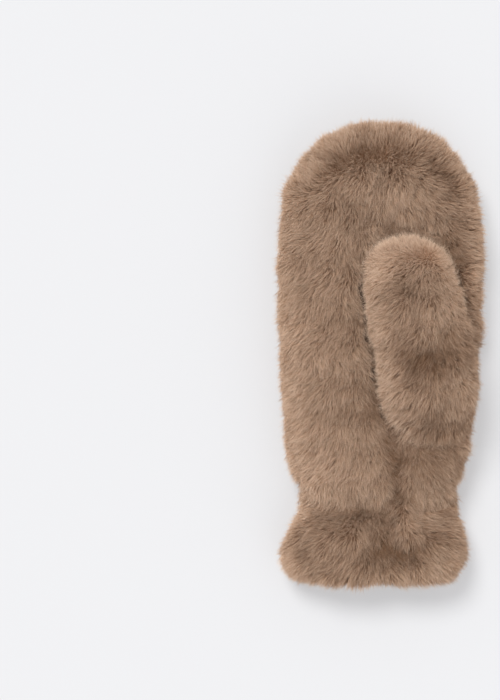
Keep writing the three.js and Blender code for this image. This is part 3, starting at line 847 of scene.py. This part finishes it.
@dataclass
class Coat:
    """One coat of fur: strands rooted on a stretch of a skin, between low and high along it."""

    name: str
    skin: Skin
    nap: Nap
    strands: int
    seed: int
    # The folds whose painted shade and painted light the strands take.
    folds: tuple[Fold, ...] = ()
    clear_of: tuple[BVHTree, ...] = ()
    low: float = -1.0
    high: float = 1.0
    tones: Tones = Tones()
    length: float = 8.8 * MM
    length_spread: tuple[float, float] = (0.7, 1.15)
    width: float = 0.21 * MM
    twist: float = 0.45
    lie: float = 0.78
    lie_spread: tuple[float, float] = (0.55, 1.12)
    lie_limit: float = 0.97
    upright_crop: float = 0.35
    loose: float = 0.3
    loose_length: float = 1.12
    loose_stray: float = 2.2
    loose_rim_crop: float = 0.32
    rim_crop: float = 0.46
    rim_band: tuple[float, float] = (2 * MM, 14 * MM)
    lock: float = 6.5 * MM
    lock_turn: float = 0.24
    lock_pull: float = 0.1
    lock_length: tuple[float, float] = (0.85, 0.3)
    tuft: float = 1.45 * MM
    tuft_turn: float = 0.3
    tuft_pull: float = 0.42
    foot_depth: float = 0.6 * MM
    middle_rise: float = 0.6
    middle_lean: float = 0.38
    middle_pull: float = 0.3
    middle_stray: float = 0.2 * MM
    tip_rise: float = 0.95
    tip_stray: float = 0.45 * MM
    over_floor: tuple[float, float] = (0.1 * MM, 0.9 * MM)
    underside: float = 0.35
    underside_from: float = 0.75
    search: float = 14 * MM
    overlap: float = 4.5 * MM

    def grow(self, fibre: bpy.types.Material) -> bpy.types.Object:
        """Grow the coat.

        Args:
            fibre: The strands' material.

        Returns:
            The coat's object.
        """
        rng = np.random.default_rng(self.seed)
        roots = self.root(rng)
        foot, middle, tip = self.bend(roots, rng)
        tone, pale = self.tones.mix(roots, self.nap.outline, self.folds, rng)
        strands = Strands(foot, middle, tip, roots.outward, tone, pale).only(self.clear(tip))
        piece = self.join(strands, rng)
        piece.data.materials.append(fibre)
        return piece

    def root(self, rng: np.random.Generator) -> Roots:
        """Scatter roots over the furry faces of the skin between low and high.

        Args:
            rng: The random source.

        Returns:
            The roots.
        """
        skin = self.skin
        corners = skin.corners[skin.furry]
        places = skin.points[corners]
        centre = places.mean(axis=1)
        cross = np.cross(places[:, 1] - places[:, 0], places[:, 2] - places[:, 0])
        area = np.linalg.norm(cross, axis=1) / 2
        down = -cross[:, 2] / np.maximum(2 * area, 1e-18)
        weight = area * np.where((centre[:, 1] >= self.low) & (centre[:, 1] < self.high), 1.0, 0.0)
        weight *= np.where(down > self.underside_from, self.underside, 1.0)
        chosen = rng.choice(len(area), size=self.strands, p=weight / weight.sum())
        a, b = np.sqrt(rng.random(self.strands)), rng.random(self.strands)
        shares = np.column_stack([1 - a, a * (1 - b), a * b])[:, :, None]
        picked = corners[chosen]
        root = (skin.points[picked] * shares).sum(axis=1)
        outward = unit((skin.normals[picked] * shares).sum(axis=1))
        locks = Tufts(self.lock, self.seed).gather(root)
        tufts = Tufts(self.tuft, self.seed + 1).gather(root)
        return Roots(root, outward, self.nap.outline.inset(root), *locks, *tufts)

    def bend(self, roots: Roots, rng: np.random.Generator) -> tuple[np.ndarray, np.ndarray, np.ndarray]:
        """Let the strands rise, lie with the nap and lean to the middle of their tuft.

        Args:
            roots: The strands' roots.
            rng: The random source.

        Returns:
            The feet, the middles and the tips.
        """
        root, outward = roots.places, roots.outward
        count = len(root)
        way = self.nap.way(root) + self.lock_turn * (roots.lock_chances - 0.5)
        way += self.tuft_turn * (roots.tuft_chances - 0.5)
        lean = roots.along(way) * self.lie * rng.uniform(*self.lie_spread, (count, 1))
        lying = np.minimum(np.linalg.norm(lean, axis=1, keepdims=True), self.lie_limit)
        rise = np.sqrt(1.0 - lying ** 2)
        loose = (rng.random(count) < self.loose)[:, None]
        shortest, gain = self.lock_length
        size = (shortest + gain * roots.lock_chances[:, 0]) * rng.uniform(*self.length_spread, count)
        rim = 1.0 - smoothstep(*self.rim_band, roots.inset)
        size *= 1.0 - np.where(loose[:, 0], self.loose_rim_crop, self.rim_crop) * rim
        size *= 1.0 - self.upright_crop * np.clip(1.0 - np.linalg.norm(way, axis=1), 0.0, 1.0)
        length = self.length * size[:, None] * np.where(loose, self.loose_length, 1.0)
        pull = self.lock_pull * roots.along(roots.lock_middles - root)
        pull += np.where(loose, 0.0, self.tuft_pull) * roots.along(roots.tuft_middles - root)
        middle = root + outward * length * rise * self.middle_rise
        middle += lean * length * self.middle_lean + pull * self.middle_pull
        middle += rng.normal(scale=self.middle_stray, size=(count, 3))
        tip = root + outward * length * rise * self.tip_rise + lean * length + pull
        tip += rng.normal(scale=self.tip_stray, size=(count, 3)) * np.where(loose, self.loose_stray, 1.0)
        for points in (middle, tip):
            points[:, 2] = np.maximum(points[:, 2], rng.uniform(*self.over_floor, count))
        return root - outward * self.foot_depth, middle, tip

    def clear(self, tips: np.ndarray) -> np.ndarray:
        """Say which strands stay out of the skins beside this one.

        Args:
            tips: The strands' tips.

        Returns:
            True for each strand that is kept.
        """
        keep = np.ones(len(tips), bool)
        for tree in self.clear_of:
            for i, tip in enumerate(map(Vector, tips)):
                place, outward, _, _ = tree.find_nearest(tip, self.search)
                if place is not None and (tip - place).dot(outward) < -self.overlap:
                    keep[i] = False
        return keep

    def join(self, strands: Strands, rng: np.random.Generator) -> bpy.types.Object:
        """Make one joined mesh of strands of two triangles, widest in the middle.

        Args:
            strands: The strands.
            rng: The random source.

        Returns:
            The mesh's object, with the tone and the way along the strand in its UV map.
        """
        count = len(strands.foot)
        facing = strands.outward + self.twist * rng.normal(size=(count, 3))
        side = unit(np.cross(strands.tip - strands.foot, facing)) * self.width / 2
        points = np.stack([strands.foot, strands.middle + side, strands.middle - side, strands.tip], axis=1)
        loops = (np.arange(count)[:, None] * 4 + np.array([0, 1, 2, 1, 3, 2])).ravel()
        mesh = bpy.data.meshes.new(self.name)
        mesh.vertices.add(count * 4)
        mesh.vertices.foreach_set("co", points.astype(np.float32).ravel())
        mesh.loops.add(count * 6)
        mesh.loops.foreach_set("vertex_index", loops.astype(np.int32))
        mesh.polygons.add(count * 2)
        mesh.polygons.foreach_set("loop_start", np.arange(0, count * 6, 3, dtype=np.int32))
        mesh.polygons.foreach_set("use_smooth", np.ones(count * 2, bool))
        layer = mesh.uv_layers.new(name=STRAND_MAP)
        half_map_width = 0.002 * np.array([0.0, -1.0, 1.0, -1.0, 0.0, 1.0])
        u = np.repeat(strands.tone, 6) + np.tile(half_map_width, count)
        # The foot starts up its colours by the pale share, which is painted light.
        v = np.maximum(np.tile(np.array([0.0, 0.5, 0.5, 0.5, 1.0, 0.5]), count), np.repeat(strands.pale, 6))
        layer.data.foreach_set("uv", np.column_stack([u, v]).astype(np.float32).ravel())
        mesh.update()
        mesh.validate()
        piece = bpy.data.objects.new(self.name, mesh)
        bpy.context.scene.collection.objects.link(piece)
        return piece


@dataclass
class SewnPiece:
    """One sewn piece of the mitten: a skin, and the coats of fur that grow on it."""

    node: str
    slot: str
    folds: tuple[Fold, ...] = ()
    floor_of_folds: float = 14 * MM
    low_end: float = -1.0
    low_end_height: float = 1.0

    def build(self) -> bpy.types.Object:
        """Model the skin, which takes the plain solid's place.

        Returns:
            The skin's object.
        """
        self.skin = Skin(self.node, self.folds, self.floor_of_folds, self.low_end, self.low_end_height)
        piece = self.skin.build()
        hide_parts(self.node)
        return self.mount(piece)

    def mount(self, piece: bpy.types.Object) -> bpy.types.Object:
        """Fix a piece to the mitten's body.

        Args:
            piece: The piece.

        Returns:
            The same piece.
        """
        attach(piece, BODY)
        return piece

    def grow(self, fibre: StrandFinish, coats: list[Coat]) -> list[bpy.types.Object]:
        """Args:
            fibre: The strands' finish.
            coats: The coats.

        Returns:
            The coats' objects.
        """
        share = 1.0
        for coat in coats:
            coat.strands = int(coat.strands * share)
        return [self.mount(coat.grow(fibre.material())) for coat in coats]


@dataclass
class PalmPanel(SewnPiece):
    """The upper panel: the palm, the upper half of the fingertip and the upper half of the cuff."""

    node: str = "palm_panel"
    slot: str = "palm_fur"
    folds: tuple[Fold, ...] = PALM_FOLDS
    finger_root: float = 20 * MM
    wrist: float = -75 * MM

    def dress(self, hand: Outline, thumb: BVHTree, fibre: StrandFinish) -> list[bpy.types.Object]:
        """Grow the fur over the fingers, over the heel of the hand and on the cuff.

        Args:
            hand: The hand's outline.
            thumb: The search tree of the thumb, which the fur beside it keeps out of.
            fibre: The strands' finish.

        Returns:
            The coats' objects.
        """
        nap = Nap(hand, folds=self.folds, seam_lean=-0.8, seed=3)
        return self.grow(fibre, [
            Coat("palm_fur_fingers", self.skin, nap, 95000, 11, self.folds, (thumb,), low=self.finger_root),
            Coat("palm_fur_heel", self.skin, nap, 88000, 12, self.folds, (thumb,),
                 low=self.wrist, high=self.finger_root),
            Coat("cuff_fur", self.skin, nap, 62000, 13, self.folds, high=self.wrist),
        ])


@dataclass
class BackPanel(SewnPiece):
    """The lower panel, which the mitten lies on."""

    node: str = "back_panel"
    slot: str = "back_fur"

    def dress(self, hand: Outline, fibre: StrandFinish) -> list[bpy.types.Object]:
        """Grow the fur of the back.

        Args:
            hand: The hand's outline.
            fibre: The strands' finish.

        Returns:
            The coat's object, in a list.
        """
        nap = Nap(hand, seam_lean=0.9, seed=3)
        return self.grow(fibre, [Coat("back_fur", self.skin, nap, 84000, 14, BACK_PAINTED_SHADOW)])


@dataclass
class Thumb(SewnPiece):
    """The thumb, folded over the palm. Its root end lies lower than its tip."""

    node: str = "thumb"
    slot: str = "thumb_fur"
    folds: tuple[Fold, ...] = THUMB_FOLDS
    floor_of_folds: float = 46 * MM
    low_end: float = -20 * MM
    low_end_height: float = 0.42

    def dress(self, outline: Outline, palm: BVHTree, fibre: StrandFinish) -> list[bpy.types.Object]:
        """Grow the thumb's fur, which lies to the hem and to the crease and turns round the tip.

        Args:
            outline: The thumb's outline.
            palm: The search tree of the palm, which the fur keeps out of.
            fibre: The strands' finish.

        Returns:
            The coat's object, in a list.
        """
        nap = Nap(outline, fan=1.0, middle=0.4, parting=7 * MM, parting_width=6 * MM, side_strength=0.0,
                  whorl=0.9, seed=4)
        return self.grow(fibre, [Coat("thumb_fur", self.skin, nap, 78000, 15, self.folds, (palm,))])


@dataclass
class Mitten:
    """The whole mitten: three sewn pieces."""

    sight: float = 140 * MM
    sight_lift: float = 0.4 * MM
    finger_dome: float = 61 * MM
    thumb_dome: float = 28 * MM

    def build(self) -> list[bpy.types.Object]:
        """Build and dress every piece.

        Returns:
            The pieces.
        """
        palm, back, thumb = PalmPanel(), BackPanel(), Thumb()
        sewn = (palm, back, thumb)
        pieces = [piece.build() for piece in sewn]
        trees = [piece.skin.tree() for piece in sewn]
        undercoat = UndercoatFinish("pile_foot").material()
        backing = BackingFinish("knitted_backing").material()
        for piece in sewn:
            piece.skin.sort_faces(trees, self.sight, self.sight_lift)
            piece.skin.dress(undercoat, backing)
        hand_outline = Outline(palm.node, self.finger_dome)
        thumb_outline = Outline(thumb.node, self.thumb_dome)
        hand_outline.measure()
        thumb_outline.measure()
        fibre = StrandFinish("pile")
        palm_tree, _, thumb_tree = trees
        pieces += palm.dress(hand_outline, thumb_tree, fibre)
        pieces += back.dress(hand_outline, fibre)
        pieces += thumb.dress(thumb_outline, palm_tree, fibre)
        return pieces


@dataclass(frozen=True)
class Sun:
    """A far, broad light; a wide spread has soft shadows. Its place is the direction it comes from."""

    name: str
    place: tuple[float, float, float]
    strength: float
    spread: float

    def hang(self) -> None:
        """Add the light to the scene."""
        data = bpy.data.lights.new(self.name, "SUN")
        data.energy = self.strength
        data.angle = math.radians(self.spread)
        lamp = bpy.data.objects.new(self.name, data)
        lamp.location = self.place
        lamp.rotation_euler = (-Vector(self.place)).to_track_quat("-Z", "Y").to_euler()
        bpy.context.scene.collection.objects.link(lamp)


@dataclass
class Studio:
    """The pale sheet, the soft light and the camera straight above."""

    reach: float = 2.0
    millimetres_per_pixel: float = 0.6
    frame_pixels: tuple[int, int] = (500, 700)
    mitten_pixel: tuple[float, float] = (380.0, 351.5)
    sensor_width: float = 36.0
    sheet_size: float = 6.0
    air: Colour = (246, 247, 250)
    ambient: float = 0.62
    suns: tuple[Sun, ...] = (
        Sun("key", (-0.32, 0.55, 1.0), 2.0, 24.0),
        Sun("fill", (0.35, -0.8, 0.5), 0.55, 60.0),
    )

    def build(self) -> None:
        """Set the stage."""
        scene = bpy.context.scene
        select_none()
        bpy.ops.mesh.primitive_plane_add(size=self.sheet_size)
        sheet = bpy.context.object
        sheet.name = "sheet"
        sheet.data.materials.append(PaperFinish("pale_sheet").material())
        scene.world = bpy.data.worlds.new("studio")
        scene.world.use_nodes = True
        background = scene.world.node_tree.nodes["Background"]
        background.inputs["Color"].default_value = linear(*self.air)
        background.inputs["Strength"].default_value = self.ambient
        scene.view_settings.view_transform = "Standard"
        for sun in self.suns:
            sun.hang()
        self.hang_camera()

    def hang_camera(self) -> None:
        """Hang the camera straight above the middle of the photographed field."""
        wide, high = self.frame_pixels
        pixel = self.millimetres_per_pixel * MM
        focus_height = CAD_BOX[1].z / 3
        data = bpy.data.cameras.new("camera")
        data.sensor_width = self.sensor_width
        data.lens = data.sensor_width * (self.reach - focus_height) / (high * pixel)
        camera = bpy.data.objects.new("camera", data)
        off_x = (wide / 2 - self.mitten_pixel[0]) * pixel
        off_y = (self.mitten_pixel[1] - high / 2) * pixel
        camera.location = (off_x, off_y, self.reach)
        bpy.context.scene.collection.objects.link(camera)
        bpy.context.scene.camera = camera


def main() -> None:
    """Build the studio and the mitten, and log how many faces each piece has."""
    logging.basicConfig(level=logging.INFO, format="%(name)s: %(message)s")
    Studio().build()
    for piece in Mitten().build():
        LOG.info("%s: %d faces", piece.name, len(piece.data.polygons))


if __name__ == "__main__":
    main()
